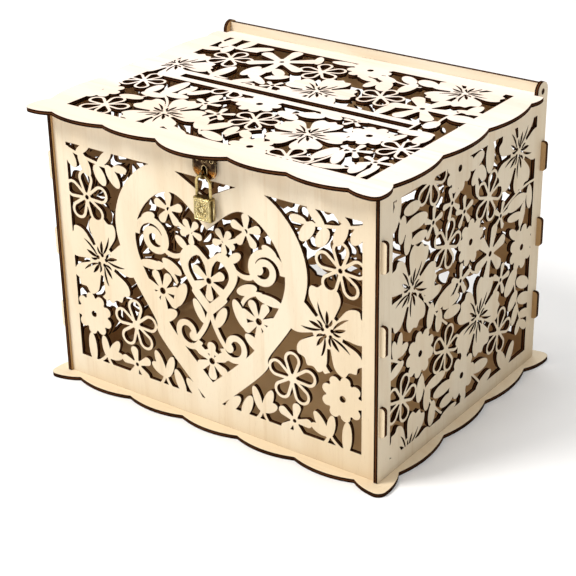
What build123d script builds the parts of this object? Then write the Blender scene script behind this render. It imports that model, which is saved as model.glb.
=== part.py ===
from build123d import *
import os
from math import acos, atan2, cos, degrees, sin

os.makedirs("parts", exist_ok=True)

# A wedding card box of laser-cut plywood sheet. Origin: the centre of the base plate's underside, on the
# surface that the box stands on. +X right, +Y towards the lid hinge, +Z up. All sizes in millimetres.

# ---- driving dimensions -------------------------------------------------------------------------------
sheet = 3.0                # thickness of every plywood sheet
body_width = 278.0         # over the outer faces of the two side panels
side_depth = 215.0         # length of a side panel, front edge to rear edge
wall_top = 212.0           # top edge of the four walls above the table
front_lip = 2.0            # the front panel sits this far behind the side panels' front edges
rear_lip = 2.2             # and the back panel this far inside their rear edges
slot_play = 0.05           # gap all round a glued tab in its slot

tab_heights = (49.0, 108.5, 167.5)    # middles of the wall tabs that pass through the side panels
tab_size = 22.0
tab_reach = 4.0            # the tabs stand this far proud of the side panels
tab_round = 2.5
foot_x = 64.5              # middles of the tabs that stand in the base plate
foot_size = 18.0

base_width = 295.0         # over its scallops
base_depth = 232.0
base_lobe = 2.0            # the base's rounded corners stand this far past its front and rear scallops
lid_width = 294.0
lid_rear_bulge = 1.5
lid_front = 123.0          # the lid's front edge ahead of the origin
lid_bulge = 6.0            # its wide middle scallop stands out this far
lid_gap = 0.1              # the lid's underside clears the walls by this much
scallop_depth = 4.5
corner_bulges = (2.2, 2.8)  # arcs on either side of a rounded corner
corner_round = 6.0
base_cusp_pitches = (49.3, 58.0)              # along the front and along the sides
lid_front_cusps = (123.0, 76.5, 30.0)
lid_side_cusps = (77.0, 18.5, -40.0, -98.5)

hinge_y = 100.5            # lid hinge axis
hinge_z = 216.4
ear_radius = 7.0           # rounded ears of the side panels, around the hinge axis
ear_hole_radius = 2.2
ear_gap = 0.4              # between an ear and the lid's rear corner
peg_size = 3.0             # square pegs at the hinge bar's ends
bar_height = 12.0
bar_gap = 0.3              # hinge bar to ear, each side
bar_round = 1.0
lid_tab_size = 24.0
lid_tab_pitch = 84.0

card_slot_length = 196.0
card_slot_width = 7.0
card_slot_y = -7.3
card_slot_round = 1.0
card_band_size = (209.0, 19.0)       # the plain band that frames the card slot
card_band_x = -4.5

lock_x = 2.5               # the lock fittings sit a little right of the middle
lock_y = -110.0            # the padlock hangs in this plane, in front of the front panel
eye_z = 193.85             # middle of the staple's eye
eye_radius = 1.6
shackle_wire = 1.1         # radius
shackle_half = 5.7         # half the distance between the shackle's legs
lock_width = 14.5
lock_depth = 6.0
lock_top = 178.0
lock_bottom = 161.5
lock_round = 1.0
lock_edge = 0.5            # rounding of its top and bottom edges
toe_end = 174.0            # lower ends of the shackle's short and long legs
heel_end = 168.0
leg_room = 0.05            # between a leg and its bore
plug_radius = 2.0          # lock cylinder
plug_top = 166.5
plug_proud = 0.3
key_slot_length = 2.8
key_slot_width = 0.8
key_slot_depth = 3.5

plate = 0.8                # brass sheet
tongue_width = 20.0        # forked tongue under the lid's front edge
tongue_back = -107.6
tongue_end = 190.5
tongue_fork_width = 3.0
tongue_fork_top = 199.0
tongue_round = 7.0         # its lower corners
tongue_fork_round = 1.2
tongue_bend = 0.7
flange_round = 4.0
tongue_flange = 15.0
tongue_screw_half = 5.5    # half the distance between the tongue's two screws
tongue_screw_y = -116.5
tongue_screw_length = 2.4
staple_half = 0.8          # half the thickness of the staple's eye
staple_base_width = 12.0
staple_base_height = 12.0
staple_base_z = 196.8
staple_base_round = 1.5
staple_screw_half = 4.0
staple_screw_z = 200.3
staple_screw_length = 2.6
screw_radius = 0.8
screw_head_radius = 1.7
screw_head = 0.7
screw_head_round = 0.5
screw_slot_width = 0.5
screw_slot_depth = 0.35

# ---- derived places -----------------------------------------------------------------------------------
side_outer = body_width / 2
side_inner = side_outer - sheet
side_front = -side_depth / 2
side_rear = side_depth / 2
front_outer = side_front + front_lip
front_inner = front_outer + sheet
back_outer = side_rear - rear_lip
back_inner = back_outer - sheet
lid_bottom = wall_top + lid_gap
bar_front = hinge_y - sheet / 2
wire_z = eye_z - eye_radius + shackle_wire + slot_play
bow_z = wire_z - shackle_half
tongue_screw_x = (lock_x - tongue_screw_half, lock_x + tongue_screw_half)
staple_screw_x = (lock_x - staple_screw_half, lock_x + staple_screw_half)
shackle_x = (lock_x - shackle_half, lock_x + shackle_half)
wall_middles = ((front_outer + front_inner) / 2, (back_outer + back_inner) / 2)


# ---- motifs, each drawn around its own centre ---------------------------------------------------------
def teardrop(near, far, reach):
    """A drop in one outline, from a circle of radius near at the centre to one of radius far at reach."""
    lean = acos((near - far) / reach)
    start = (near * cos(lean), near * sin(lean))
    swell = (reach + far * cos(lean), far * sin(lean))
    with BuildSketch(mode=Mode.PRIVATE) as drop:
        with BuildLine():
            Line(start, swell)
            ThreePointArc(swell, (reach + far, 0), (swell[0], -swell[1]))
            Line((swell[0], -swell[1]), (start[0], -start[1]))
            ThreePointArc((start[0], -start[1]), (-near, 0), start)
        make_face()
    return drop.sketch


def at(shape, x, y, turn=0.0):
    """The shape moved to (x, y) and turned, in degrees."""
    return shape.moved(Location((x, y, 0), (0, 0, turn)))


def spokes(shape, count):
    """The shape repeated about the centre, pointing outwards."""
    return [at(shape, 0, 0, 360 * step / count) for step in range(count)]


def open_flower(radius, eye=0.0):
    """Five outlined petals around a small disc."""
    petal = teardrop(0.09 * radius, 0.325 * radius, 0.675 * radius)
    window = at(teardrop(0.05 * radius, 0.21 * radius, 0.46 * radius), 0.22 * radius, 0)
    with BuildSketch(mode=Mode.PRIVATE) as flower:
        Circle(0.2 * radius)
        add(spokes(petal, 5))
        add(spokes(window, 5), mode=Mode.SUBTRACT)
        if eye:
            Circle(eye, mode=Mode.SUBTRACT)
    return flower.sketch


def prong(root, tip, turn, bow, half):
    """A slender curved cut from root, on the x-axis, to a point at the distance tip and the angle turn. Its
    middle bows to the left by bow and is half wide to each side."""
    start = Vector(root, 0)
    end = Vector(tip, 0).rotate(Axis.Z, turn)
    middle = (start + end) / 2
    left = (end - start).normalized().rotate(Axis.Z, 90)
    with BuildSketch(mode=Mode.PRIVATE) as cut:
        with BuildLine():
            ThreePointArc(start, middle + left * (bow + half), end)
            ThreePointArc(end, middle + left * (bow - half), start)
        make_face()
    return cut.sketch


def hibiscus(radius):
    """Five broad petals with wavy ends, each with three cuts that meet beside the flower's heart."""
    rim = [(0.2, 0.14), (0.5, 0.29), (0.8, 0.37), (0.94, 0.26), (0.91, 0.1), (1.0, -0.03), (0.92, -0.15),
           (0.94, -0.28), (0.78, -0.37), (0.5, -0.29), (0.2, -0.14)]
    with BuildSketch(mode=Mode.PRIVATE) as petal:
        with BuildLine():
            edge = Spline(*[(radius * x, radius * y) for x, y in rim])
            Line(edge @ 1, edge @ 0)
        make_face()
    root = 0.12 * radius
    with BuildSketch(mode=Mode.PRIVATE) as fork:
        with Locations((root, 0)):
            Circle(0.042 * radius)
        add(prong(root, 0.64 * radius, -16, -0.04 * radius, 0.027 * radius))
        add(prong(root, 0.46 * radius, 3, 0.01 * radius, 0.04 * radius))
        add(prong(root, 0.32 * radius, 25, 0.034 * radius, 0.028 * radius))
    with BuildSketch(mode=Mode.PRIVATE) as flower:
        Circle(0.37 * radius)
        add(spokes(petal.sketch, 5))
        add(spokes(fork.sketch, 5), mode=Mode.SUBTRACT)
    return flower.sketch


def rosette(radius, eye=2.4):
    """A disc with a rim of nine small lobes and a round eye."""
    with BuildSketch(mode=Mode.PRIVATE) as flower:
        Circle(0.79 * radius)
        with PolarLocations(0.77 * radius, 9):
            Circle(0.235 * radius)
        Circle(eye, mode=Mode.SUBTRACT)
    return flower.sketch


def daisy(radius, petals=6, eye=1.3, fullness=0.2):
    """Separate round-ended petals around a disc with a small eye."""
    petal = teardrop(0.07 * radius, fullness * radius, (1 - fullness) * radius)
    with BuildSketch(mode=Mode.PRIVATE) as flower:
        Circle(0.26 * radius)
        add(spokes(petal, petals))
        if eye:
            Circle(eye, mode=Mode.SUBTRACT)
    return flower.sketch


def star_flower(radius):
    """Five narrow petals around a small eye."""
    return daisy(radius, 5, 1.4, 0.19)


def leaf(x0, y0, x1, y1, width):
    """A leaf from its stalk at (x0, y0) to its round tip at (x1, y1)."""
    near = 0.2 * width
    length = Vector(x1 - x0, y1 - y0).length
    drop = teardrop(near, width / 2, length - near - width / 2)
    return at(drop, x0, y0, degrees(atan2(y1 - y0, x1 - x0)))


def oval(x0, y0, x1, y1, width):
    """An oval leaf whose two ends are at (x0, y0) and (x1, y1)."""
    length = Vector(x1 - x0, y1 - y0).length
    with BuildSketch(mode=Mode.PRIVATE) as blade:
        Ellipse(length / 2, width / 2)
    return at(blade.sketch, (x0 + x1) / 2, (y0 + y1) / 2, degrees(atan2(y1 - y0, x1 - x0)))


def stem(x0, y0, xm, ym, x1, y1, width=2.0):
    """A thin curved strip from (x0, y0) through (xm, ym) to (x1, y1)."""
    side = Vector(y0 - y1, x1 - x0).normalized() * (width / 2)
    ends = [Vector(x0, y0), Vector(x1, y1)]
    middle = Vector(xm, ym)
    with BuildSketch(mode=Mode.PRIVATE) as strip:
        with BuildLine():
            ThreePointArc(ends[0] + side, middle + side, ends[1] + side)
            Line(ends[1] + side, ends[1] - side)
            ThreePointArc(ends[1] - side, middle - side, ends[0] - side)
            Line(ends[0] - side, ends[0] + side)
        make_face()
    return strip.sketch


def swirl(radius, width=3.6, turns=4):
    """A scroll of half-circle bands that tighten towards a round end. It starts at (radius, 0)."""
    bands = []
    start = radius
    reach = radius
    way = 1
    for step in range(turns):
        span = 2 * reach * 0.82
        middle = start - way * span / 2
        with BuildSketch(mode=Mode.PRIVATE) as band:
            Circle(span / 2 + width / 2)
            Circle(span / 2 - width / 2, mode=Mode.SUBTRACT)
            with Locations((0, way * -radius)):
                Rectangle(4 * radius, 2 * radius, mode=Mode.SUBTRACT)
        bands.append(at(band.sketch, middle, 0))
        start = start - way * span
        reach = reach * 0.68
        way = -way
        if reach * 0.82 < width:
            break
    with BuildSketch(mode=Mode.PRIVATE) as scroll:
        add(bands)
        with Locations((start, 0)):
            Circle(width * 0.8)
    return scroll.sketch


def heart_outline(half_width, lobe_top, shoulder, dip, tip, rise):
    """A heart about x = 0, widest at height shoulder. It leaves its dip with the slope rise."""
    lobe_x = 0.48 * half_width
    with BuildSketch(mode=Mode.PRIVATE) as heart:
        with BuildLine():
            Spline(
                (0, dip),
                (lobe_x, lobe_top),
                (half_width, shoulder),
                (0.6 * half_width, tip + 0.45 * (shoulder - tip)),
                (0, tip),
                tangents=[(1, rise), (-1, -0.9)],
            )
            mirror(about=Plane.YZ)
        make_face()
    return heart.sketch


def both_sides(shapes):
    """The shapes and their mirror images about x = 0."""
    return shapes + [shape.mirror(Plane.YZ) for shape in shapes]


# ---- the panels' cut-out fields -----------------------------------------------------------------------
def lattice(low_x, low_y, high_x, high_y, solids):
    """The openings that a rectangular field leaves around its solid motifs."""
    with BuildSketch(mode=Mode.PRIVATE) as openings:
        with Locations(((low_x + high_x) / 2, (low_y + high_y) / 2)):
            Rectangle(high_x - low_x, high_y - low_y)
        add(solids, mode=Mode.SUBTRACT)
    return openings.sketch


def flower_group(kind, places):
    """One kind of flower at each (x, y, radius, turn)."""
    return [at(kind(radius), x, y, turn) for x, y, radius, turn in places]


side_flowers = (
    flower_group(open_flower, [(29, 161.5, 19.5, -2), (-26, 146, 19, -1), (-79, 53.5, 19, 0),
                               (-23, 66.5, 19, 0), (51, 48.5, 19, 0), (-47, 199, 19, 0)])
    + flower_group(hibiscus, [(69, 181.5, 31.5, -3), (-69, 131, 31.5, -3), (20, 73, 31.5, -3),
                             (-70, 9, 30, -9)])
    + flower_group(rosette, [(-11.5, 196, 17, 0), (6, 136.5, 17, 10), (80.5, 104.5, 17.5, 0),
                             (-56.5, 78.5, 17.5, 20), (0, 36, 17.5, 0)])
    + flower_group(star_flower, [(-44, 169, 12, 12), (-20.5, 174.5, 12, 35), (-4, 162.5, 12, 20),
                                 (47, 141, 11, 0), (-6, 112, 13, 15), (51, 90, 13, 5)])
    + flower_group(lambda radius: daisy(radius, 6, 2.0), [(34, 117, 21.5, 15)])
)
side_leaves = [oval(*place) for place in [
    (-92, 179, -85, 202, 9), (-80, 189, -60, 188, 9), (-79, 177, -51, 177, 11), (-80, 187, -83, 168, 9),
    (-73, 176, -76, 158, 9), (-71, 165, -51, 165, 8), (-84, 87, -81, 105, 7), (-86, 85, -90, 102, 7),
    (-85, 89, -72, 93, 8), (-95, 76, -77, 82, 8), (-54, 61, -57, 41, 10), (-46, 50, -47, 30, 9),
    (-38, 34, -41, 15, 9.5), (-47, 48, -23, 49, 9), (-38, 37, -13, 37, 10), (-29, 25, -10, 26, 9),
    (-28, 14, -6, 17, 6), (-54, 117, -31, 118, 9), (-43, 111, -46, 92, 9), (-40, 104, -12, 113, 11),
    (-33, 102, -34, 85, 9), (-29, 101, -7, 102, 8), (-27, 94, -5, 92, 9), (1, 191, 20, 197, 10),
    (28, 203, 29, 179, 12), (15, 189, 5, 178, 9), (13, 189, 23, 177, 9), (11, 181, 13, 167, 5),
    (56, 142, 83, 144, 11), (87, 151, 89, 132, 8.5), (81, 140, 76, 122, 8), (79, 131, 57, 134, 7),
    (61, 124, 74, 114, 7),
    (75, 80, 94, 70, 10), (77, 71, 65, 59, 10), (78, 64, 99, 57, 10), (78, 60, 72, 44, 8.5),
    (81, 50, 99, 45, 7.5), (84, 46, 78, 34, 7), (84, 43, 94, 34, 7), (64, 13, 52, 31, 10),
    (65, 13, 75, 31, 9), (13, 33.5, 37, 31, 10), (21, 13, 43, 21, 9), (74, 90, 59, 73, 13),
    (1, 12, 5, 22, 7),
]]
side_stems = [stem(*place) for place in [
    (-91, 200, -81, 179, -66, 162), (-54, 62, -45, 40, -26, 18), (-56, 123, -43, 106, -22, 86),
    (71, 94, 75, 68, 88, 38), (49, 143, 70, 150.5, 97, 152), (83, 146, 79, 130, 73, 112),
    (8, 35, 19, 26, 31, 12), (-97, 91, -88, 87, -78, 80), (5, 120, 9, 113, 18, 111),
    (-14, 184, -16, 180, -19, 175),
]]
side_window = lattice(-92.5, 14.5, 94, 200.5, side_flowers + side_leaves + side_stems)

lid_flowers = (
    flower_group(open_flower, [(-92, 41.5, 18.5, 15), (-17, 54, 18.5, 41), (49, 31, 18, 16),
                               (-114, -32, 17.5, 15), (-102, -87, 18.5, 15), (-45.5, -12, 18, 15),
                               (4, -55, 18.5, 14), (62, -98, 18, 18), (115, -46, 17.5, 18)])
    + flower_group(hibiscus, [(-118, 10, 30, 14), (4.5, 17, 29.5, 14), (94, 70, 29, 14), (-57, -77, 30, 14),
                              (49, -57, 29, 14)])
    + flower_group(rosette, [(11, 76, 17.5, 0), (-13, -27, 16.5, 10), (84.5, -37, 16.5, 0),
                             (31, -96, 16.5, 20), (-127, -64, 17, 0)])
    + flower_group(lambda radius: daisy(radius, 6, 1.8, 0.17), [(-55, 56.5, 27, 35)])
    + flower_group(lambda radius: daisy(radius, 6, 2.0, 0.2), [(86, 26.5, 25, 10)])
    + flower_group(star_flower, [(-44.5, -47, 12, 10), (-24, -59, 12, 30), (91.5, -65, 12.5, 20),
                                 (113.5, -74, 12, 10), (62, -20, 9.5, 30), (-29, 9.5, 9.5, 0)])
)
lid_leaves = [oval(*place) for place in [
    (-117, 60, -117, 89, 10), (-103, 63, -101, 88, 9), (-98, 64, -78, 78, 10), (-110, 67, -107, 51, 9),
    (-129, 52, -112, 57, 9), (-77, 29, -79, 1, 10), (-62, 16, -62, 39, 10), (66, 27, 64, 0, 8),
    (-46, 14, -60, 0, 8), (-56, 40, -52, 18, 8), (-30, 32, -44, 20, 9), (28, 0, 18, 14, 7),
    (-10, 4, -22, 12, 8), (-61, 24, -36, 8, 8),
    (-49, 41, -36, 29, 9), (-83, -18, -83, -49, 10), (-72, -23, -73, -42, 8), (-58, -24, -68, -39, 8),
    (-82, -46, -62, -45, 9), (-95, -33, -95, -52, 9), (-98, -53, -77, -52, 9), (-107, -66, -88, -63, 9),
    (-47, -42, -46, -27, 8), (-35, -31, -17, -21, 9), (7, -31, 27, -39, 10), (21, -28, 40, -24, 11),
    (32, -16, 52, -22, 9), (-28, -68, -18, -89, 10), (-4, -68, -17, -89, 11), (2, -71, 4, -88, 8),
    (9, -74, 21, -85, 8), (-13, -90, 9, -98, 10), (-42, -95, -18, -102, 7), (-24, 78, -3, 80, 8),
    (23, 69, 40, 63, 10), (39, 79, 54, 67, 10), (53, 77, 70, 71, 12), (34, 63, 42, 42, 12),
    (55, 69, 54, 47, 10), (27, 43, 29, 58, 8), (12, 61, 28, 57, 7), (118, 53, 117, 33, 9),
    (108, 23, 129, 24, 13),
    (108, 11, 107, -5, 10), (95, -19, 120, -13, 10), (117, -13, 116, -33, 10), (129, 38, 107, 37, 7),
    (80, -66, 76, -90, 10), (84, -68, 93, -91, 8), (82, -99, 103, -92, 8), (109, -79, 110, -98, 9),
    (119, -78, 118, -103, 6), (-37, 82, -30, 66, 7), (104, -22, 98, -40, 7),
]]
lid_stems = [stem(*place) for place in [
    (-127, 75, -108, 66, -84, 66, 3), (-96, 24, -84, 8, -66, 4, 3), (-86, -46, -72, -56, -60, -74),
    (26, 74, 44, 64, 62, 64), (112, 36, 108, 20, 112, 0), (84, -62, 84, -80, 78, -102),
    (100, -94, 108, -88, 112, -78), (18, -66, 10, -76, 6, -90), (-20, -66, -20, -80, -10, -96),
    (-84, -50, -90, -58, -92, -66), (30, -20, 18, -32, 12, -46), (-30, -22, -38, -34, -44, -46),
]]
card_band = Pos(card_band_x, card_slot_y) * Rectangle(*card_band_size)
lid_window = lattice(-125, -101, 125, 84, lid_flowers + lid_leaves + lid_stems + [card_band])

corner_flowers = (
    flower_group(lambda radius: open_flower(radius, 1.7), [(108.3, 150.3, 20.5, 17)])
    + flower_group(open_flower, [(69, 60, 20.5, 17)])
    + [at(hibiscus(33.5).mirror(Plane.YZ), 98, 103.7, -13)]
    + flower_group(rosette, [(110, 57.3, 17, 0)])
    + flower_group(lambda radius: daisy(radius, 5, 1.4, 0.24), [(70.5, 27.5, 14.5, 8)])
)
corner_leaves = [oval(*place) for place in [
    (127, 186, 117, 171, 9), (113, 184, 104, 167, 9), (99, 177, 90, 163, 9), (88, 179, 77, 164, 9),
    (82, 178, 69, 179, 6), (96, 177, 83, 190, 7), (116, 182, 103, 191, 6), (98, 24, 87, 41, 7.5),
    (99, 24, 102, 42, 7), (99, 26, 84, 30, 7.5), (113, 17, 114, 41, 8), (42, 26, 36, 44, 7),
    (44, 25, 52, 45, 7.5), (42, 27, 56, 34, 8), (26, 16, 34, 35, 8), (10, 15, 24, 31, 8),
]]
corner_stems = [stem(*place) for place in [
    (127, 185.5, 100, 179, 70, 177, 2.4), (93, 17, 97, 21, 99, 27, 2.6), (36, 17, 41, 22, 43, 28, 2.6),
    (70, 12, 71, 18, 70.5, 25, 3), (112, 17, 105, 21, 100, 26, 2.4), (50, 17, 46, 22, 44, 28, 2.4),
    (98, 73, 94, 78, 92, 84, 5),
]]
corners = both_sides(corner_flowers + corner_leaves + corner_stems)

big_heart = heart_outline(82.5, 191, 138, 176, 13, 0.45)
inner_heart = heart_outline(64.5, 172, 132, 152, 35, 0.8)
with BuildSketch(mode=Mode.PRIVATE) as heart_ring:
    add(big_heart)
    add(inner_heart, mode=Mode.SUBTRACT)

small_heart = heart_outline(25, 138, 126, 130, 87, 0.7)
small_heart_hole = heart_outline(17.5, 131, 122, 121, 97, 0.9)
with BuildSketch(mode=Mode.PRIVATE) as heart_frame:
    add(small_heart)
    add(small_heart_hole, mode=Mode.SUBTRACT)

heart_fill = (
    [heart_frame.sketch, at(daisy(15.5, 6, 2.2, 0.22), 0, 114, 30), at(daisy(15, 6, 2.4, 0.25), 0, 52, 30)]
    + both_sides([
        at(swirl(16, 5.4), 47, 134, 0),
        at(swirl(12, 4.8), 21, 69, 200),
        at(daisy(13, 5, 1.6, 0.25), 33, 159, 90),
        at(daisy(16, 7, 2.5, 0.22), 42, 95, 12),
        at(daisy(10, 5, 1.3, 0.27), 14, 147, 54),
        oval(24, 112, 41, 120, 8), oval(40, 114, 62, 112, 7.5), oval(21, 106, 31, 86, 9),
        oval(30, 82, 47, 71, 9), oval(5, 80, 14, 97, 7.5), oval(46, 152, 58, 146, 7),
        oval(18, 133, 28, 141, 6.5),
        stem(22, 129, 31, 125, 42, 132, 4.0), stem(0, 92, 6, 76, 13, 66, 4.0),
        stem(0, 62, 10, 57, 17, 60, 3.6), stem(13, 147, 24, 150, 33, 159, 3.4),
        stem(28, 104, 34, 112, 46, 116, 3.4),
    ])
)
front_window = lattice(-125, 19.8, 125, 188.5, corners + [heart_ring.sketch] + heart_fill)

back_middle = both_sides(
    flower_group(open_flower, [(38, 150, 19, 18), (30, 62, 19, 18)])
    + flower_group(hibiscus, [(62, 128, 30, 0)])
    + flower_group(rosette, [(58, 170, 15, 0), (44, 94, 17, 0)])
    + flower_group(daisy, [(14, 38, 13, 18), (24, 176, 12, 0), (16, 96, 15, 30)])
    + [leaf(*place) for place in [
        (72, 96, 60, 76, 9), (0, 160, 14, 176, 9), (2, 124, 24, 138, 10), (2, 118, 26, 116, 9),
        (0, 60, 14, 76, 9), (36, 20, 32, 42, 9), (52, 44, 44, 30, 8), (76, 176, 70, 160, 8),
        (2, 12, 6, 28, 8), (84, 92, 70, 84, 8), (20, 108, 34, 122, 8), (84, 150, 72, 156, 8),
        (60, 100, 76, 106, 8),
    ]]
) + [at(hibiscus(26), 0, 142, 90), stem(0, 190, 1, 100, 0, 12, 5.0)]
back_window = lattice(-125, 19.8, 125, 188.5, corners + back_middle)


# ---- outlines -----------------------------------------------------------------------------------------
def scalloped_face(right_half, bulges, corners):
    """A face that is symmetric about x = 0. right_half runs clockwise down its right side. bulges holds
    the height of the arc on each span: first the span that crosses x = 0 at the top, then those of the
    right side, then the one that crosses at the bottom. The corners and their mirror images are rounded."""
    points = right_half + [(-x, y) for x, y in reversed(right_half)] + right_half[:1]
    spans = bulges[1:] + list(reversed(bulges[1:-1])) + bulges[:1]
    with BuildSketch(mode=Mode.PRIVATE) as face:
        with BuildLine():
            for start, end, bulge in zip(points, points[1:], spans):
                if bulge:
                    SagittaArc(start, end, bulge)
                else:
                    Line(start, end)
        make_face()
        for x, y in corners:
            for side in (-1, 1):
                fillet(vertices().sort_by_distance((side * x, y))[0], radius=corner_round)
    return face.sketch


def end_wall_face(window):
    """A front or back panel: wall, side tabs, feet and its field of openings."""
    with BuildSketch(mode=Mode.PRIVATE) as face:
        with Locations(*[(0, middle) for middle in tab_heights]):
            Rectangle(2 * (side_outer + tab_reach), tab_size)
        fillet(vertices(), radius=tab_round)
        with Locations((0, (sheet + wall_top) / 2)):
            Rectangle(2 * side_inner, wall_top - sheet)
        with Locations((-foot_x, sheet / 2), (foot_x, sheet / 2)):
            Rectangle(foot_size, sheet)
        add(window, mode=Mode.SUBTRACT)
    return face.sketch


def side_wall_face(window):
    """A side panel: wall, hinge ear, slots for the wall tabs and its field of openings."""
    slot_height = tab_size + 2 * slot_play
    slot_depth = sheet + 2 * slot_play
    with BuildSketch(mode=Mode.PRIVATE) as face:
        with Locations((0, (sheet + wall_top) / 2)):
            Rectangle(side_depth, wall_top - sheet)
        with Locations((hinge_y, (wall_top + hinge_z) / 2)):
            Rectangle(2 * ear_radius, hinge_z - wall_top)
        with Locations((hinge_y, hinge_z)):
            Circle(ear_radius)
            Circle(ear_hole_radius, mode=Mode.SUBTRACT)
        with Locations(*[(middle, height) for height in tab_heights for middle in wall_middles]):
            Rectangle(slot_depth, slot_height, mode=Mode.SUBTRACT)
        add(window, mode=Mode.SUBTRACT)
    return face.sketch


cusp_x = base_width / 2 - scallop_depth
cusp_y = base_depth / 2 - scallop_depth
base_corner = (base_width / 2 + 0.5, base_depth / 2 + base_lobe)
front_pitch = base_cusp_pitches[0]
side_pitch = base_cusp_pitches[1]
base_right = [
    (0.5 * front_pitch, cusp_y),
    (1.5 * front_pitch, cusp_y),
    (2.5 * front_pitch, cusp_y),
    base_corner,
    (cusp_x, 1.5 * side_pitch),
    (cusp_x, 0.5 * side_pitch),
    (cusp_x, -0.5 * side_pitch),
    (cusp_x, -1.5 * side_pitch),
    (base_corner[0], -base_corner[1]),
    (2.5 * front_pitch, -cusp_y),
    (1.5 * front_pitch, -cusp_y),
    (0.5 * front_pitch, -cusp_y),
]
bulge_in = list(corner_bulges)
bulge_out = list(reversed(corner_bulges))
base_bulges = [scallop_depth] * 3 + bulge_in + [scallop_depth] * 3 + bulge_out + [scallop_depth] * 3
base_face = scalloped_face(base_right, base_bulges, [base_corner, (base_corner[0], -base_corner[1])])

lid_cusp_x = lid_width / 2 - scallop_depth
lid_cusp_y = -lid_front + scallop_depth
lid_corner_y = hinge_y - ear_radius - ear_gap
lid_corner = (lid_width / 2 - 1.5, lid_cusp_y - 3)
lid_right = (
    [(side_inner - bar_gap, bar_front), (side_inner - bar_gap, lid_corner_y)]
    + [(lid_cusp_x + 0.9, lid_corner_y)]
    + [(lid_cusp_x, y) for y in lid_side_cusps]
    + [lid_corner]
    + [(x, lid_cusp_y) for x in lid_front_cusps]
)
lid_bulges = [0, 0, 0, lid_rear_bulge] + [scallop_depth] * 3 + bulge_out + [scallop_depth] * 2
lid_bulges = lid_bulges + [scallop_depth + lid_bulge]
lid_face = scalloped_face(lid_right, lid_bulges, [lid_corner])


# ---- plywood pieces -----------------------------------------------------------------------------------
with BuildPart() as base_plate:
    with BuildSketch():
        add(base_face)
        with Locations(*[(side * foot_x, middle) for side in (-1, 1) for middle in wall_middles]):
            Rectangle(foot_size + 2 * slot_play, sheet + 2 * slot_play, mode=Mode.SUBTRACT)
    extrude(amount=sheet)

with BuildPart() as front_panel:
    with BuildSketch(Plane.XZ.offset(-front_inner)):
        add(end_wall_face(front_window))
    extrude(amount=sheet)
    with Locations(*[(x, front_outer, staple_screw_z) for x in staple_screw_x]):
        Cylinder(screw_radius, 2 * staple_screw_length, rotation=(90, 0, 0), mode=Mode.SUBTRACT)

with BuildPart() as back_panel:
    with BuildSketch(Plane.XZ.offset(-back_outer)):
        add(end_wall_face(back_window))
    extrude(amount=sheet)

with BuildPart() as left_side_panel:
    with BuildSketch(Plane.YZ.offset(-side_outer)):
        add(side_wall_face(side_window))
    extrude(amount=sheet)

with BuildPart() as right_side_panel:
    with BuildSketch(Plane.YZ.offset(side_inner)):
        add(side_wall_face(side_window))
    extrude(amount=sheet)

lid_tab_places = [-lid_tab_pitch, 0, lid_tab_pitch]
with BuildPart() as lid_panel:
    with BuildSketch(Plane.XY.offset(lid_bottom)):
        add(lid_face)
        with Locations(*[(x, hinge_y) for x in lid_tab_places]):
            Rectangle(lid_tab_size, sheet)
        add(lid_window, mode=Mode.SUBTRACT)
        with Locations((0, card_slot_y)):
            RectangleRounded(card_slot_length, card_slot_width, card_slot_round, mode=Mode.SUBTRACT)
    extrude(amount=sheet)
    with Locations(*[(x, tongue_screw_y, lid_bottom) for x in tongue_screw_x]):
        Cylinder(screw_radius, 2 * tongue_screw_length, mode=Mode.SUBTRACT)

with BuildPart() as hinge_bar:
    with BuildSketch(Plane.XZ.offset(-hinge_y - sheet / 2)):
        with Locations((0, hinge_z)):
            Rectangle(2 * (side_inner - bar_gap), bar_height)
            fillet(vertices(), radius=bar_round)
            Rectangle(2 * side_outer, peg_size)
        with Locations(*[(x, lid_bottom + sheet / 2) for x in lid_tab_places]):
            Rectangle(lid_tab_size + 2 * slot_play, sheet + 2 * slot_play, mode=Mode.SUBTRACT)
    extrude(amount=sheet)


# ---- brass lock fittings ------------------------------------------------------------------------------
with BuildPart() as lock_tongue:
    with BuildSketch(Plane.XZ.offset(-tongue_back)):
        with Locations((lock_x, (tongue_end + lid_bottom) / 2)):
            Rectangle(tongue_width, lid_bottom - tongue_end)
        lower = vertices().group_by(Axis.Y)[0]
        fillet(lower, radius=tongue_round)
        with Locations((lock_x, (tongue_end + tongue_fork_top) / 2 - 1)):
            Rectangle(tongue_fork_width, tongue_fork_top - tongue_end + 2, mode=Mode.SUBTRACT)
        fork_top = [corner for corner in vertices() if abs(corner.Y - tongue_fork_top) < 0.01]
        fillet(fork_top, radius=tongue_fork_round)
    extrude(amount=plate)
    with BuildSketch(Plane.XY.offset(lid_bottom - plate)):
        with Locations((lock_x, tongue_back - tongue_flange / 2)):
            Rectangle(tongue_width, tongue_flange)
        outer = vertices().group_by(Axis.Y)[0]
        fillet(outer, radius=flange_round)
    extrude(amount=plate)
    bend = edges().filter_by(Axis.X).filter_by_position(Axis.Y, tongue_back - 0.01, tongue_back + 0.01)
    fillet(bend.group_by(Axis.Z)[-1], radius=tongue_bend)
    with Locations(*[(x, tongue_screw_y, lid_bottom) for x in tongue_screw_x]):
        Cylinder(screw_radius, 4 * plate, mode=Mode.SUBTRACT)

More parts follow.
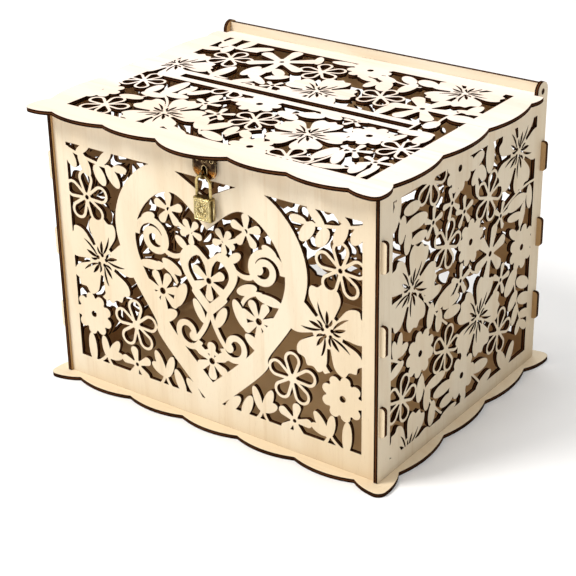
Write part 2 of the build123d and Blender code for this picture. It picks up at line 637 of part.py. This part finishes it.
with BuildPart() as tongue_screws:
    with BuildSketch(Plane.XY.offset(lid_bottom - plate)):
        with Locations(*[(x, tongue_screw_y) for x in tongue_screw_x]):
            Circle(screw_radius)
    extrude(amount=plate + tongue_screw_length)
    with BuildSketch(Plane.XY.offset(lid_bottom - plate)):
        with Locations(*[(x, tongue_screw_y) for x in tongue_screw_x]):
            Circle(screw_head_radius)
    extrude(amount=-screw_head)
    fillet(edges().group_by(Axis.Z)[0], radius=screw_head_round)
    with BuildSketch(Plane.XY.offset(lid_bottom - plate - screw_head)):
        with Locations(*[(x, tongue_screw_y) for x in tongue_screw_x]):
            Rectangle(2 * screw_head_radius, screw_slot_width)
    extrude(amount=screw_slot_depth, mode=Mode.SUBTRACT)

with BuildPart() as staple:
    with BuildSketch(Plane.XZ.offset(-front_outer)):
        with Locations((lock_x, staple_base_z)):
            RectangleRounded(staple_base_width, staple_base_height, staple_base_round)
    extrude(amount=plate)
    with BuildSketch(Plane.YZ.offset(lock_x - staple_half)):
        with Locations((lock_y, eye_z)):
            Circle(2 * eye_radius)
        with Locations(((lock_y + front_outer) / 2, eye_z)):
            Rectangle(front_outer - lock_y, 4 * eye_radius)
        with Locations((lock_y, eye_z)):
            Circle(eye_radius, mode=Mode.SUBTRACT)
    extrude(amount=2 * staple_half)
    with Locations(*[(x, front_outer, staple_screw_z) for x in staple_screw_x]):
        Cylinder(screw_radius, 4 * plate, rotation=(90, 0, 0), mode=Mode.SUBTRACT)

with BuildPart() as staple_screws:
    with BuildSketch(Plane.XZ.offset(-front_outer + plate)):
        with Locations(*[(x, staple_screw_z) for x in staple_screw_x]):
            Circle(screw_radius)
    extrude(amount=-plate - staple_screw_length)
    with BuildSketch(Plane.XZ.offset(-front_outer + plate)):
        with Locations(*[(x, staple_screw_z) for x in staple_screw_x]):
            Circle(screw_head_radius)
    extrude(amount=screw_head)
    fillet(edges().group_by(Axis.Y)[0], radius=screw_head_round)
    with BuildSketch(Plane.XZ.offset(-front_outer + plate + screw_head)):
        with Locations(*[(x, staple_screw_z) for x in staple_screw_x]):
            Rectangle(2 * screw_head_radius, screw_slot_width)
    extrude(amount=-screw_slot_depth, mode=Mode.SUBTRACT)

with BuildPart() as padlock_body:
    with BuildSketch(Plane.XY.offset(lock_bottom)):
        with Locations((lock_x, lock_y)):
            RectangleRounded(lock_width, lock_depth, lock_round)
    extrude(amount=lock_top - lock_bottom)
    fillet(edges().group_by(Axis.Z)[-1] + edges().group_by(Axis.Z)[0], radius=lock_edge)
    with Locations(*[(x, lock_y, lock_top) for x in shackle_x]):
        Hole(shackle_wire + leg_room, depth=lock_top - heel_end + 0.5)
    with Locations((lock_x, lock_y, (lock_bottom + plug_top) / 2)):
        Cylinder(plug_radius + leg_room, plug_top - lock_bottom + 2 * leg_room, mode=Mode.SUBTRACT)

with BuildPart() as padlock_shackle:
    with BuildLine() as bow:
        toe = Line((shackle_x[0], lock_y, toe_end), (shackle_x[0], lock_y, bow_z))
        arch = ThreePointArc(toe @ 1, (lock_x, lock_y, bow_z + shackle_half), (shackle_x[1], lock_y, bow_z))
        Line(arch @ 1, (shackle_x[1], lock_y, heel_end))
    with BuildSketch(Plane.XY.offset(toe_end)):
        with Locations((shackle_x[0], lock_y)):
            Circle(shackle_wire)
    sweep(path=bow.wire())

with BuildPart() as lock_cylinder:
    with BuildSketch(Plane.XY.offset(lock_bottom - plug_proud)):
        with Locations((lock_x, lock_y)):
            Circle(plug_radius)
    extrude(amount=plug_top - lock_bottom + plug_proud)
    with BuildSketch(Plane.XY.offset(lock_bottom - plug_proud)):
        with Locations((lock_x, lock_y)):
            SlotOverall(key_slot_length, key_slot_width)
    extrude(amount=key_slot_depth, mode=Mode.SUBTRACT)


pieces = {
    "base_plate": base_plate, "front_panel": front_panel, "back_panel": back_panel,
    "left_side_panel": left_side_panel, "right_side_panel": right_side_panel, "lid_panel": lid_panel,
    "hinge_bar": hinge_bar, "lock_tongue": lock_tongue, "tongue_screws": tongue_screws, "staple": staple,
    "staple_screws": staple_screws, "padlock_body": padlock_body, "padlock_shackle": padlock_shackle,
    "lock_cylinder": lock_cylinder,
}
for name, piece in pieces.items():
    piece.part.label = name
    export_step(piece.part, f"parts/{name}.step")
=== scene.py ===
import math

import bmesh
import bpy
from mathutils import Matrix, Vector


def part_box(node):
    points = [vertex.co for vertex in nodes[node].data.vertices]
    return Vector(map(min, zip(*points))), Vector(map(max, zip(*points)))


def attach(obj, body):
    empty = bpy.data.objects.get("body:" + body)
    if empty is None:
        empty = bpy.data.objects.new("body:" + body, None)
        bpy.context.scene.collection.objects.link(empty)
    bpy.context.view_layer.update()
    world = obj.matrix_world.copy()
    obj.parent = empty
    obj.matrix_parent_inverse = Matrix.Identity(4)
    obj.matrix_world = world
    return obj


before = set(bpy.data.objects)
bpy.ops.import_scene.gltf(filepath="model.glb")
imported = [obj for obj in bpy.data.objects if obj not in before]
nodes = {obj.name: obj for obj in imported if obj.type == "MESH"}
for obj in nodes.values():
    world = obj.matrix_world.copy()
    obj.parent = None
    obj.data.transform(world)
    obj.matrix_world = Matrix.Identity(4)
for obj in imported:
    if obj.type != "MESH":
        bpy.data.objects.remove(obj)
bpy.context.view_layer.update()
scene = bpy.context.scene

X, Y, Z = 0, 1, 2


# ---- node trees ---------------------------------------------------------------------------------------
def colour(red, green, blue):
    return (red, green, blue, 1.0)


WHITE = colour(1.0, 1.0, 1.0)


class Tree:
    """One material's nodes. A value given where a socket is expected goes straight onto the socket."""

    MIX_A, MIX_B, MIX_RESULT = 6, 7, 2     # a Mix node's colour sockets, whose names are not unique

    def __init__(self, name):
        self.material = bpy.data.materials.new(name)
        self.material.use_nodes = True
        self.tree = self.material.node_tree
        self.tree.nodes.clear()
        self.coords = self.node("ShaderNodeTexCoord")
        self.place = self.coords.outputs["Object"]

    def node(self, kind, feeds=None, **settings):
        made = self.tree.nodes.new(kind)
        for key, value in settings.items():
            setattr(made, key, value)
        for key, value in (feeds or {}).items():
            self.feed(made.inputs[key], value)
        return made

    def feed(self, socket, value):
        if isinstance(value, bpy.types.NodeSocket):
            self.tree.links.new(value, socket)
        else:
            socket.default_value = value

    def math(self, operation, a, b=0.0):
        return self.node("ShaderNodeMath", {0: a, 1: b}, operation=operation).outputs[0]

    def scaled(self, by, shift=(0.0, 0.0, 0.0)):
        """The object's own coordinates, stretched and shifted."""
        made = self.node("ShaderNodeMapping", {"Vector": self.place, "Scale": by, "Location": shift})
        return made.outputs["Vector"]

    def noise(self, vector, detail=3.0, roughness=0.55, distortion=0.0):
        made = self.node("ShaderNodeTexNoise", {
            "Vector": vector, "Scale": 1.0, "Detail": detail, "Roughness": roughness,
            "Distortion": distortion})
        return made.outputs["Fac"]

    def span(self, value, low, high, to_low=0.0, to_high=1.0):
        """value moved smoothly from low..high to to_low..to_high."""
        made = self.node("ShaderNodeMapRange", {
            "Value": value, "From Min": low, "From Max": high, "To Min": to_low, "To Max": to_high},
            interpolation_type="SMOOTHSTEP")
        return made.outputs["Result"]

    def mix(self, share, a, b, blend="MIX"):
        made = self.node("ShaderNodeMix", {self.MIX_A: a, self.MIX_B: b}, data_type="RGBA", blend_type=blend)
        self.feed(made.inputs["Factor"], share)
        return made.outputs[self.MIX_RESULT]

    def split(self, vector):
        return self.node("ShaderNodeSeparateXYZ", {"Vector": vector}).outputs

    def bump(self, height, distance):
        made = self.node("ShaderNodeBump", {"Height": height, "Distance": distance, "Strength": 1.0})
        return made.outputs["Normal"]

    def finish(self, feeds):
        shader = self.node("ShaderNodeBsdfPrincipled", feeds)
        output = self.node("ShaderNodeOutputMaterial")
        self.tree.links.new(shader.outputs["BSDF"], output.inputs["Surface"])
        return self.material


def give(node, made):
    obj = nodes[node]
    obj.data.materials.clear()
    obj.data.materials.append(made)


def middle_of(node, axis):
    low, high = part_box(node)
    return (low[axis] + high[axis]) / 2


# ---- birch plywood --------------------------------------------------------------------------------------
BIRCH_LIGHT = colour(0.880, 0.765, 0.585)
BIRCH_WARM = colour(0.820, 0.675, 0.470)
BIRCH_STREAK = colour(0.715, 0.545, 0.345)
PORE = colour(0.480, 0.320, 0.180)
# painted shade: the colour laid over the inside faces in place of the shade inside the box
INSIDE_SHADE = colour(0.600, 0.455, 0.300)
SCORCH = colour(0.340, 0.190, 0.095)
CHAR_DARK = colour(0.006, 0.0015, 0.0003)
CHAR_BROWN = colour(0.026, 0.008, 0.0012)
CHAR_PLY = colour(0.100, 0.034, 0.011)
LID_HIGHLIGHT_TINT = colour(1.0, 1.02, 1.22)         # painted highlight: the lid's veneer is made paler and less yellow than the walls', as in bright light
BAR_HIGHLIGHT_TINT = colour(1.0, 1.05, 1.10)        # a weaker painted highlight on the hinge bar, between the two

FACE_LEAN = (0.55, 0.85)          # how far a normal leans along the sheet's axis, from cut edge to face
SCORCH_REACH = 0.0007             # how far the laser's brown rim runs in from a cut edge
INSIDE_SHADE_FADE = 0.0005               # width in which the painted shade on the inside faces ends
MIDDLE_PLY = (0.00030, 0.00062)   # distance from the mid-plane where the middle ply starts to fade and ends
GRAIN_DEPTH = 0.00008


def veneer(t, grain, shift, tone):
    """Pale veneer with its grain along the axis called grain: broad clouds, fine streaks, wide rings and dark
    pores. Gives back its colour, the streaks and the pores."""
    def stretched(across, along):
        return t.scaled([along if i == grain else across for i in range(3)], shift)

    clouds = t.noise(stretched(9.0, 5.0), detail=2.0)
    streaks = t.noise(stretched(260.0, 9.0), detail=4.0, roughness=0.6, distortion=0.15)
    rings = t.node("ShaderNodeTexWave", {
        "Vector": stretched(18.0, 3.2), "Scale": 1.0, "Distortion": 5.5, "Detail": 2.0,
        "Detail Scale": 1.2}, bands_direction="DIAGONAL").outputs["Fac"]
    pores = t.span(t.noise(stretched(2300.0, 150.0), detail=2.0), 0.62, 0.74)
    wood = t.mix(t.span(clouds, 0.30, 0.70), BIRCH_LIGHT, BIRCH_WARM)
    wood = t.mix(t.span(streaks, 0.50, 0.80, 0.0, 0.45), wood, BIRCH_STREAK)
    wood = t.mix(t.span(rings, 0.55, 0.95, 0.0, 0.20), wood, BIRCH_STREAK)
    wood = t.mix(t.math("MULTIPLY", pores, 0.22), wood, PORE)
    # a tint other than white paints a highlight over the whole sheet
    return t.mix(1.0, wood, tone, "MULTIPLY"), streaks, pores


def scorched(t, wood, patches):
    """wood with an uneven brown rim beside every cut, where the bevelled normal turns from the flat one."""
    rounded = t.node("ShaderNodeBevel", {"Radius": SCORCH_REACH}, samples=4).outputs["Normal"]
    flat = t.node("ShaderNodeNewGeometry").outputs["True Normal"]
    straight = t.node("ShaderNodeVectorMath", {0: rounded, 1: flat}, operation="DOT_PRODUCT").outputs["Value"]
    rim = t.span(straight, 0.80, 0.995, 0.85, 0.0)
    rim = t.math("MULTIPLY", rim, t.span(patches, 0.30, 0.65, 0.55, 1.0))
    return t.mix(rim, wood, SCORCH)


def with_painted_inside_shade(t, wood, lean, inside, room):
    """wood with its face on the inside (+1 or -1 along the sheet's axis) darkened by painted shade, in place
    of the shade inside the box, all over or, where room is given, only within that half-width and half-depth."""
    painted_shade_share = t.span(t.math("MULTIPLY", lean, inside), *FACE_LEAN)
    for way, half in zip((X, Y), room):
        reach = t.math("ABSOLUTE", t.split(t.place)[way])
        painted_shade_share = t.math("MULTIPLY", painted_shade_share, t.span(reach, half - INSIDE_SHADE_FADE, half, 1.0, 0.0))
    return t.mix(painted_shade_share, wood, t.mix(1.0, wood, INSIDE_SHADE, "MULTIPLY"))


def burnt_edge(t, axis, middle, shift, patches):
    """A charred cut with the middle ply as a lighter line. Gives back its colour and the char's grain."""
    beam = t.scaled([60.0 if i == axis else 1100.0 for i in range(3)], shift)
    char = t.noise(beam, roughness=0.65)
    burnt = t.mix(t.span(char, 0.35, 0.72), CHAR_DARK, CHAR_BROWN)
    depth = t.math("ABSOLUTE", t.math("SUBTRACT", t.split(t.place)[axis], middle))
    ply = t.span(depth, *MIDDLE_PLY, 1.0, 0.0)
    ply = t.math("MULTIPLY", ply, t.span(patches, 0.30, 0.62, 0.25, 0.95))
    return t.mix(ply, burnt, CHAR_PLY), char


def birch(name, axis, middle, grain, seed, inside=0, room=(), tone=WHITE):
    """Birch plywood whose sheet is square to axis with its mid-plane at middle. The tint shifts the colour of
    the whole veneer and, where it is not white, paints a highlight; seed moves the pattern so that no two
    sheets are alike."""
    t = Tree(name)
    shift = (seed * 0.37, seed * 0.61, seed * 0.23)
    lean = t.split(t.coords.outputs["Normal"])[axis]
    face = t.span(t.math("ABSOLUTE", lean), *FACE_LEAN)
    patches = t.noise(t.scaled((45.0, 45.0, 45.0), shift), detail=2.0)
    wood, streaks, pores = veneer(t, grain, shift, tone)
    wood = scorched(t, wood, patches)
    # paint shade on the inside faces
    if inside:
        wood = with_painted_inside_shade(t, wood, lean, inside, room)
    burnt, char = burnt_edge(t, axis, middle, shift, patches)
    grain_height = t.math("ADD", t.math("MULTIPLY", streaks, 0.6), t.math("MULTIPLY", pores, -0.5))
    char_height = t.math("MULTIPLY", char, t.math("SUBTRACT", 1.0, face))
    height = t.math("ADD", t.math("MULTIPLY", grain_height, face), char_height)
    return t.finish({
        "Base Color": t.mix(face, burnt, wood),
        "Roughness": t.span(face, 0.0, 1.0, 0.90, 0.52),
        "Specular IOR Level": 0.05,
        "Normal": t.bump(height, GRAIN_DEPTH),
    })


def sheet(node, name, axis, grain, seed, **look):
    give(node, birch(name, axis, middle_of(node, axis), grain, seed, **look))


side_low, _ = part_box("right_side_panel")
back_low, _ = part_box("back_panel")
sheet("base_plate", "birch_base", Z, X, 1.0, inside=1, room=(side_low[X], back_low[Y]))
sheet("front_panel", "birch_front", Y, Z, 2.0, inside=1)
sheet("back_panel", "birch_back", Y, Z, 3.0, inside=-1)
sheet("right_side_panel", "birch_right", X, Z, 4.0, inside=-1)
sheet("left_side_panel", "birch_left", X, Z, 5.0, inside=1)
# the lid and the hinge bar are tinted paler as a painted highlight
sheet("lid_panel", "birch_lid", Z, X, 6.0, inside=-1, tone=LID_HIGHLIGHT_TINT)
sheet("hinge_bar", "birch_bar", Y, X, 7.0, tone=BAR_HIGHLIGHT_TINT)

# ---- brass ------------------------------------------------------------------------------------------------
BRASS_LIGHT = colour(0.400, 0.310, 0.125)
BRASS_DARK = colour(0.090, 0.060, 0.020)
SHACKLE_LIGHT = colour(0.520, 0.400, 0.170)
# the lighter end of the painted shade on the padlock's narrow sides
SIDE_SHADE_LIGHT = colour(0.110, 0.078, 0.028)
RELIEF_LIGHT = colour(0.820, 0.700, 0.390)
ANTIQUE_LIGHT = colour(0.400, 0.310, 0.150)
ANTIQUE_DARK = colour(0.060, 0.036, 0.018)
RIM_LIGHT = colour(0.620, 0.470, 0.240)
# darker brass on the tongue's upper part
TONGUE_UPPER_LIGHT = colour(0.105, 0.062, 0.028)
TONGUE_UPPER_DARK = colour(0.016, 0.008, 0.004)
# painted reflection: orange-brown with bright specks on the tongue's lower edge
REFLECTION_DEEP = colour(0.260, 0.080, 0.010)
REFLECTION_BRIGHT = colour(0.780, 0.360, 0.070)

SCRATCH_DEPTH = 0.00002
PATINA_DEPTH = 0.00016
REFLECTION_TOP = (0.0050, 0.0105)      # above the tongue's lower edge, where the painted reflection starts to fade and ends
REFLECTION_WANDER = 0.006              # how far that level wanders


def brass(name, light, dark, rough, wear):
    """Yellow brass with patches of tarnish, up to wear, and fine random scratches."""
    t = Tree(name)
    cloud = t.noise(t.scaled((420.0, 420.0, 420.0)), detail=4.0, roughness=0.6)
    fine = t.noise(t.scaled((2600.0, 2600.0, 700.0)), roughness=0.6)
    mottle = t.math("ADD", t.math("MULTIPLY", cloud, 0.6), t.math("MULTIPLY", fine, 0.4))
    return t.finish({
        "Base Color": t.mix(t.span(cloud, 0.42, 0.68, 0.0, wear), light, dark),
        "Metallic": 1.0,
        "Roughness": t.span(mottle, 0.3, 0.7, rough * 0.7, rough * 1.4),
        "Normal": t.bump(fine, SCRATCH_DEPTH),
    })


def tongue_with_painted_reflection():
    """Darker brass above that turns at the lower edge to a painted reflection, orange-brown with bright
    specks.
    """
    low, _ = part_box("lock_tongue")
    t = Tree("tongue_painted_reflection")
    cloud = t.noise(t.scaled((300.0, 300.0, 420.0)), detail=4.0, roughness=0.62)
    speckle = t.noise(t.scaled((1500.0, 1500.0, 1500.0)), detail=2.0)
    level = t.math("ADD", t.split(t.place)[Z], t.math("MULTIPLY", cloud, REFLECTION_WANDER))
    reflection_share = t.span(level, *(low[Z] + height for height in REFLECTION_TOP), 1.0, 0.0)
    upper_brass = t.mix(t.span(cloud, 0.42, 0.70), TONGUE_UPPER_DARK, TONGUE_UPPER_LIGHT)
    reflection_colour = t.mix(t.span(speckle, 0.50, 0.66), REFLECTION_DEEP, REFLECTION_BRIGHT)
    return t.finish({
        # the lower edge takes the painted reflection
        "Base Color": t.mix(reflection_share, upper_brass, reflection_colour),
        "Metallic": 1.0,
        "Roughness": t.span(cloud, 0.3, 0.7, 0.16, 0.34),
        "Normal": t.bump(t.math("ADD", cloud, t.math("MULTIPLY", speckle, 0.4)), PATINA_DEPTH),
    })


antique = brass("brass_antique", ANTIQUE_LIGHT, ANTIQUE_DARK, 0.22, 0.8)
antique_rim = brass("brass_antique_rim", RIM_LIGHT, ANTIQUE_DARK, 0.24, 0.5)
# painted shade: dark brass laid on thin plates at the front of the padlock's sides
painted_side_shade = brass("brass_painted_side_shade", SIDE_SHADE_LIGHT, BRASS_DARK, 0.40, 0.6)
relief = brass("brass_relief", RELIEF_LIGHT, BRASS_LIGHT, 0.24, 0.45)

give("padlock_body", brass("brass_polished", BRASS_LIGHT, BRASS_DARK, 0.34, 0.9))
give("lock_tongue", tongue_with_painted_reflection())
give("padlock_shackle", brass("brass_shackle", SHACKLE_LIGHT, BRASS_DARK, 0.13, 0.75))
for part in ("lock_cylinder", "staple", "staple_screws", "tongue_screws"):
    give(part, antique)

# ---- raised metalwork on the lock -----------------------------------------------------------------------
TONGUE_PLATE = 0.0008             # the tongue's thickness


def spoke(turn):
    """A unit step in a plate's x-z plane, turned from +x towards +z."""
    return Vector((math.cos(turn), 0.0, math.sin(turn)))


def even_turns(count, first=0.0):
    return [first + 2 * math.pi * step / count for step in range(count)]


def wire(made, points, radius, closed=False, sides=8):
    """A round wire along points in the x-z plane of a plate, thinning to a quarter at open ends."""
    thin, growth = 0.25, 3.0
    count = len(points)
    rings = []
    for i, point in enumerate(points):
        before = points[(i - 1) % count] if closed or i else points[i]
        after = points[(i + 1) % count] if closed or i < count - 1 else points[i]
        along = (after - before).normalized()
        across = Vector((along.z, 0.0, -along.x))
        share = 1.0 if closed else min(1.0, thin + growth * min(i, count - 1 - i) / count)
        ring = []
        for turn in even_turns(sides):
            place = point + share * radius * (math.cos(turn) * across + math.sin(turn) * Vector((0, 1, 0)))
            ring.append(made.verts.new(place))
        rings.append(ring)
    pairs = list(zip(rings, rings[1:]))
    if closed:
        pairs.append((rings[-1], rings[0]))
    for one, other in pairs:
        for step in range(sides):
            following = (step + 1) % sides
            made.faces.new((one[step], one[following], other[following], other[step]))
    if not closed:
        made.faces.new(rings[0])
        made.faces.new(list(reversed(rings[-1])))


def dome(made, place, radius, squash=0.6):
    """A low round boss."""
    where = Matrix.Translation(place) @ Matrix.Diagonal((1.0, squash, 1.0, 1.0))
    bmesh.ops.create_uvsphere(made, u_segments=14, v_segments=9, radius=radius, matrix=where)


def oblong(low, high, corner, y, steps=6):
    """Points around a rounded rectangle at y, whose opposite corners low and high are each (x, z)."""
    (left, bottom), (right, top) = low, high
    points = []
    for index, (x, z) in enumerate(((right, top), (left, top), (left, bottom), (right, bottom))):
        centre = Vector((x - math.copysign(corner, x - (left + right) / 2), y,
                         z - math.copysign(corner, z - (bottom + top) / 2)))
        for step in range(steps + 1):
            points.append(centre + corner * spoke(math.pi / 2 * (index + step / steps)))
    return points


def scroll(centre, radius, start, turns, steps=26):
    """A spiral in a plate's plane that tightens from radius to an eighth or so of it."""
    tightening = 0.88
    points = []
    for step in range(steps):
        share = step / (steps - 1)
        reach = radius * (1.0 - tightening * share)
        points.append(centre + reach * spoke(start + 2 * math.pi * turns * share))
    return points


def piece(name, made, body, material):
    """A finished mesh piece, smooth shaded, that rides on body."""
    bmesh.ops.recalc_face_normals(made, faces=made.faces)
    mesh = bpy.data.meshes.new(name)
    made.to_mesh(mesh)
    made.free()
    for face in mesh.polygons:
        face.use_smooth = True
    mesh.materials.append(material)
    obj = bpy.data.objects.new(name, mesh)
    scene.collection.objects.link(obj)
    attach(obj, body)
    return obj


def beaded_border(made, low, high, y):
    """Two wire frames with a row of beads between them, just inside the padlock's edges."""
    rounding = 0.0009
    for inset, radius in ((0.0010, 0.00030), (0.0027, 0.00018)):
        corners = ((low[X] + inset, low[Z] + inset), (high[X] - inset, high[Z] - inset))
        wire(made, oblong(*corners, rounding, y), radius, closed=True)
    gap, bead = 0.00185, 0.00042
    across, up = 9, 10
    left, right, bottom, top = low[X] + gap, high[X] - gap, low[Z] + gap, high[Z] - gap
    for step in range(across + 1):
        for z in (bottom, top):
            dome(made, Vector((left + (right - left) * step / across, y, z)), bead)
    for step in range(1, up):
        for x in (left, right):
            dome(made, Vector((x, y, bottom + (top - bottom) * step / up)), bead)


def padlock_relief(name, y):
    """Scrolls and leaves around a small flower, inside a beaded border, on the padlock's face at y."""
    low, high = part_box("padlock_body")
    middle = Vector(((low[X] + high[X]) / 2, y, (low[Z] + high[Z]) / 2))
    made = bmesh.new()
    beaded_border(made, low, high, y)
    petals, petal_place, petal, heart = 5, 0.00125, 0.00080, 0.00055
    for turn in even_turns(petals, math.pi / 2):
        dome(made, middle + petal_place * spoke(turn), petal, 0.55)
    dome(made, middle, heart, 0.8)
    for side in (-1, 1):
        for end in (-1, 1):
            eye = middle + Vector((side * 0.0027, 0.0, end * 0.0037))
            wire(made, scroll(eye, 0.0019, math.atan2(-end, -side), side * end * 1.35), 0.00036)
            leaf = [eye + Vector((side * out, 0.0, -end * down))
                    for out, down in ((0.0002, 0.0018), (0.0011, 0.0026), (0.0018, 0.0040))]
            wire(made, leaf, 0.00034)
        stem = [middle + Vector((side * out, 0.0, side * reach))
                for out, reach in ((0.0, 0.0022), (0.0002, 0.0035), (0.0, 0.0052))]
        wire(made, stem, 0.00032)
    piece(name, made, "padlock", relief)


def side_ribs():
    """On each narrow side of the padlock, an upright rib at the rear and at the front a thin plate of dark
    brass that paints a band of shade.
    """
    low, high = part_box("padlock_body")
    middle_z = (low[Z] + high[Z]) / 2
    wide = 0.0019
    length = high[Z] - low[Z] - 0.0020
    made = bmesh.new()
    for x in (low[X], high[X]):
        for y, thick in ((high[Y] - 0.0018, 0.0006), (low[Y] + 0.0017, 0.0001)):
            bar = bmesh.ops.create_cube(made, size=1.0)["verts"]
            bmesh.ops.scale(made, vec=(thick, wide, length), verts=bar)
            bmesh.ops.translate(made, vec=(x, y, middle_z), verts=bar)
    bmesh.ops.bevel(made, geom=list(made.edges), offset=0.00004, segments=2, affect="EDGES")
    obj = piece("padlock_side_ribs", made, "padlock", relief)
    obj.data.materials.append(painted_side_shade)
    middle_y = (low[Y] + high[Y]) / 2
    # the front plates take the painted shade
    for face in obj.data.polygons:
        face.material_index = int(face.center.y < middle_y)


def tongue_trim():
    """A raised rim along the tongue's outline and its fork, and above the fork a round boss in a beaded ring
    between two scrolls."""
    low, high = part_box("lock_tongue")
    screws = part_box("tongue_screws")
    middle_x = (low[X] + high[X]) / 2
    face = high[Y] - TONGUE_PLATE
    inset = 0.0007
    corner = 0.0070 - inset
    corner_steps = 8
    fork_edge = 0.0022

    def spot(x, z):
        return Vector((middle_x + x, face, low[Z] + z))

    half = (high[X] - low[X]) / 2 - inset
    top = screws[0][Z] - 0.0012 - low[Z]
    outline = [spot(-half, top)]
    for side, start in ((-1, math.pi), (1, 1.5 * math.pi)):
        for step in range(corner_steps + 1):
            turn = start + math.pi / 2 * step / corner_steps
            place = spot(side * (half - corner), inset + corner) + corner * spoke(turn)
            if abs(place.x - middle_x) > fork_edge:
                outline.append(place)
    outline.append(spot(half, top))
    rise = [(0.0021, inset), (0.0021, 0.0075), (0.0014, 0.0090)]
    arch = [spot(-x, z) for x, z in rise] + [spot(0.0, 0.0095)] + [spot(x, z) for x, z in reversed(rise)]
    fork = len(outline) // 2
    made = bmesh.new()
    wire(made, outline[:fork] + arch + outline[fork:], 0.00042, sides=10)

    boss = spot(0.0, 0.0145)
    beads, bead_place = 14, 0.0029
    dome(made, boss, 0.0019, 0.35)
    for turn in even_turns(beads):
        dome(made, boss + bead_place * spoke(turn), 0.00042, 0.7)
    for side in (-1, 1):
        eye = boss + Vector((side * 0.0058, 0.0, -0.0012))
        wire(made, scroll(eye, 0.0022, math.pi / 2, -side * 1.3), 0.00030)
    piece("tongue_trim", made, "lid", antique_rim)


padlock_low, padlock_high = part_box("padlock_body")
padlock_relief("padlock_relief_front", padlock_low[Y])
padlock_relief("padlock_relief_back", padlock_high[Y])
side_ribs()
tongue_trim()

# ---- floor, light and camera --------------------------------------------------------------------------
FLOOR_SIZE = 6.0
FLOOR_FADE = (0.9, 3.0)           # distance from the box where the floor starts to glow and is plain white
LAMP_AIM = Vector((0.0, 0.0, 0.1))
BACKDROP = 1.0                    # the world's strength as the camera sees it
FILL = 0.27                       # and as it lights the box

# The camera, in metres and degrees, as fitted to the box's corners.
CAMERA_PLACE = (0.6233, -0.8581, 0.5845)
CAMERA_AZIMUTH = 36.4795
CAMERA_ELEVATION = 26.0465
CAMERA_ROLL = -0.992
LENS = 99.598
SENSOR = 36.0
NEAREST = 0.01


def floor():
    made = bmesh.new()
    bmesh.ops.create_grid(made, x_segments=2, y_segments=2, size=FLOOR_SIZE)
    mesh = bpy.data.meshes.new("floor")
    made.to_mesh(mesh)
    made.free()
    obj = bpy.data.objects.new("floor", mesh)
    scene.collection.objects.link(obj)
    t = Tree("floor_white")
    soft = t.noise(t.scaled((3.0, 3.0, 3.0)), detail=2.0)
    reach = t.node("ShaderNodeVectorMath", {0: t.place}, operation="LENGTH").outputs["Value"]
    mesh.materials.append(t.finish({
        "Base Color": t.mix(soft, colour(0.95, 0.95, 0.95), colour(0.965, 0.965, 0.965)),
        "Roughness": 0.9,
        "Specular IOR Level": 0.1,
        "Emission Color": WHITE,
        "Emission Strength": t.span(reach, *FLOOR_FADE),
    }))


def lamp(name, where, size, watts, tint=(1.0, 1.0, 1.0)):
    """A round lamp that is turned towards the box."""
    data = bpy.data.lights.new(name, "AREA")
    data.shape = "DISK"
    data.size = size
    data.energy = watts
    data.color = tint
    obj = bpy.data.objects.new(name, data)
    scene.collection.objects.link(obj)
    obj.location = where
    obj.rotation_euler = (LAMP_AIM - Vector(where)).to_track_quat("-Z", "Y").to_euler()


def white_room():
    """A world that is pure white to the camera and only a soft fill to everything else."""
    world = bpy.data.worlds.new("studio")
    world.use_nodes = True
    tree = world.node_tree
    background = tree.nodes["Background"]
    background.inputs["Color"].default_value = WHITE
    seen = tree.nodes.new("ShaderNodeLightPath").outputs["Is Camera Ray"]
    strength = tree.nodes.new("ShaderNodeMapRange")
    strength.inputs["To Min"].default_value = FILL
    strength.inputs["To Max"].default_value = BACKDROP
    tree.links.new(seen, strength.inputs["Value"])
    tree.links.new(strength.outputs["Result"], background.inputs["Strength"])
    scene.world = world


def place_camera():
    lens = bpy.data.cameras.new("camera")
    lens.lens = LENS
    lens.sensor_width = SENSOR
    lens.clip_start = NEAREST
    camera = bpy.data.objects.new("camera", lens)
    scene.collection.objects.link(camera)
    turned = (Matrix.Rotation(math.radians(CAMERA_AZIMUTH), 4, "Z")
              @ Matrix.Rotation(math.radians(90.0 - CAMERA_ELEVATION), 4, "X")
              @ Matrix.Rotation(math.radians(CAMERA_ROLL), 4, "Z"))
    camera.matrix_world = Matrix.Translation(CAMERA_PLACE) @ turned
    return camera


floor()
lamp("key", (-1.1, -1.5, 2.2), 1.1, 62.0, (1.0, 0.975, 0.94))
lamp("top", (0.0, 0.2, 2.6), 1.8, 42.0)
white_room()
scene.view_settings.view_transform = "Standard"
bpy.context.scene.camera = place_camera()
